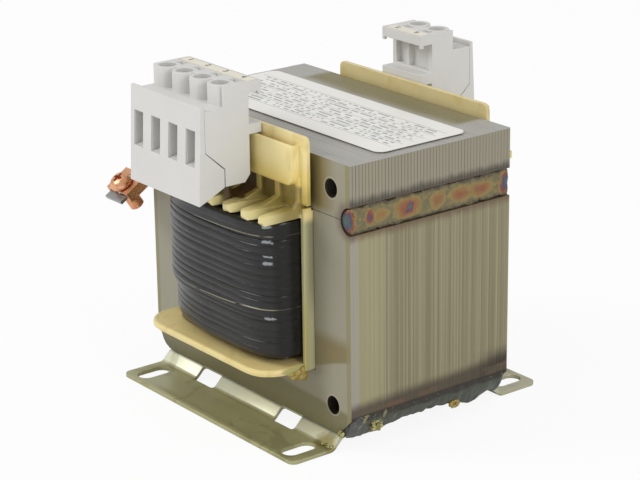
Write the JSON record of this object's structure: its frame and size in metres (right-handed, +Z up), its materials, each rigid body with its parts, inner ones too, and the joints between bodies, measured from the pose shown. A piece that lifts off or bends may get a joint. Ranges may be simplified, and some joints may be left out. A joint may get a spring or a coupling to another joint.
{
  "type": "open-frame mains transformer",
  "caption": "Open-frame control transformer on a welded laminated core, with screw terminal blocks on both faces, an earth clamp and slotted steel feet",
  "frame": {"origin": "on the plane of the feet's soles, under the middle of the whole outline", "axes": "+X along the core's width, towards the end away from the earth clamp; +Y through the stack of sheets, from the face with the larger terminal block to the face with the smaller one; +Z up"},
  "size_m": [0.0892, 0.0952, 0.0899],
  "materials": {
    "lamination_steel": "varnished sheet edges, slightly glossy",
    "weld_bead": "satin bead with heat tints",
    "foot_steel": "varnished satin",
    "cream_nylon": "translucent, lacquered",
    "enamelled_copper": "enamelled wire",
    "brown_tape": "lacquered tape",
    "varnished_wire": "glossy varnish over wrapped turns",
    "block_plastic": "fine satin moulding",
    "marker_plastic": "satin",
    "plated_steel": "dull zinc plating",
    "lead_insulation": "varnished",
    "bare_copper": "bare, polished by handling",
    "label_film": "satin film"
  },
  "bodies": {
    "root": {"core_e_stack": "lamination_steel", "core_i_stack": "lamination_steel", "seam_weld_left": "weld_bead", "seam_weld_right": "weld_bead", "base_weld_left": "weld_bead", "base_weld_right": "weld_bead", "foot_front": "foot_steel", "foot_rear": "foot_steel", "coil_former": "cream_nylon", "inner_winding": "enamelled_copper", "winding_tape": "brown_tape", "outer_winding": "varnished_wire", "front_block_housing": "block_plastic", "front_block_cover": "block_plastic", "front_block_marker": "marker_plastic", "front_block_cage_1": "plated_steel", "front_block_screw_1": "plated_steel", "front_block_lead_1": "lead_insulation", "front_block_cage_2": "plated_steel", "front_block_screw_2": "plated_steel", "front_block_lead_2": "lead_insulation", "front_block_cage_3": "plated_steel", "front_block_screw_3": "plated_steel", "front_block_lead_3": "lead_insulation", "front_block_cage_4": "plated_steel", "front_block_screw_4": "plated_steel", "front_block_lead_4": "lead_insulation", "rear_block_housing": "block_plastic", "rear_block_cover": "block_plastic", "rear_block_marker": "marker_plastic", "rear_block_cage_1": "plated_steel", "rear_block_screw_1": "plated_steel", "rear_block_lead_1": "lead_insulation", "rear_block_cage_2": "plated_steel", "rear_block_screw_2": "plated_steel", "rear_block_lead_2": "lead_insulation", "earth_lug": "plated_steel", "earth_saddle": "bare_copper", "earth_screw": "bare_copper", "lug_rivet": "plated_steel", "rating_label": "label_film"}
  },
  "joints": []
}
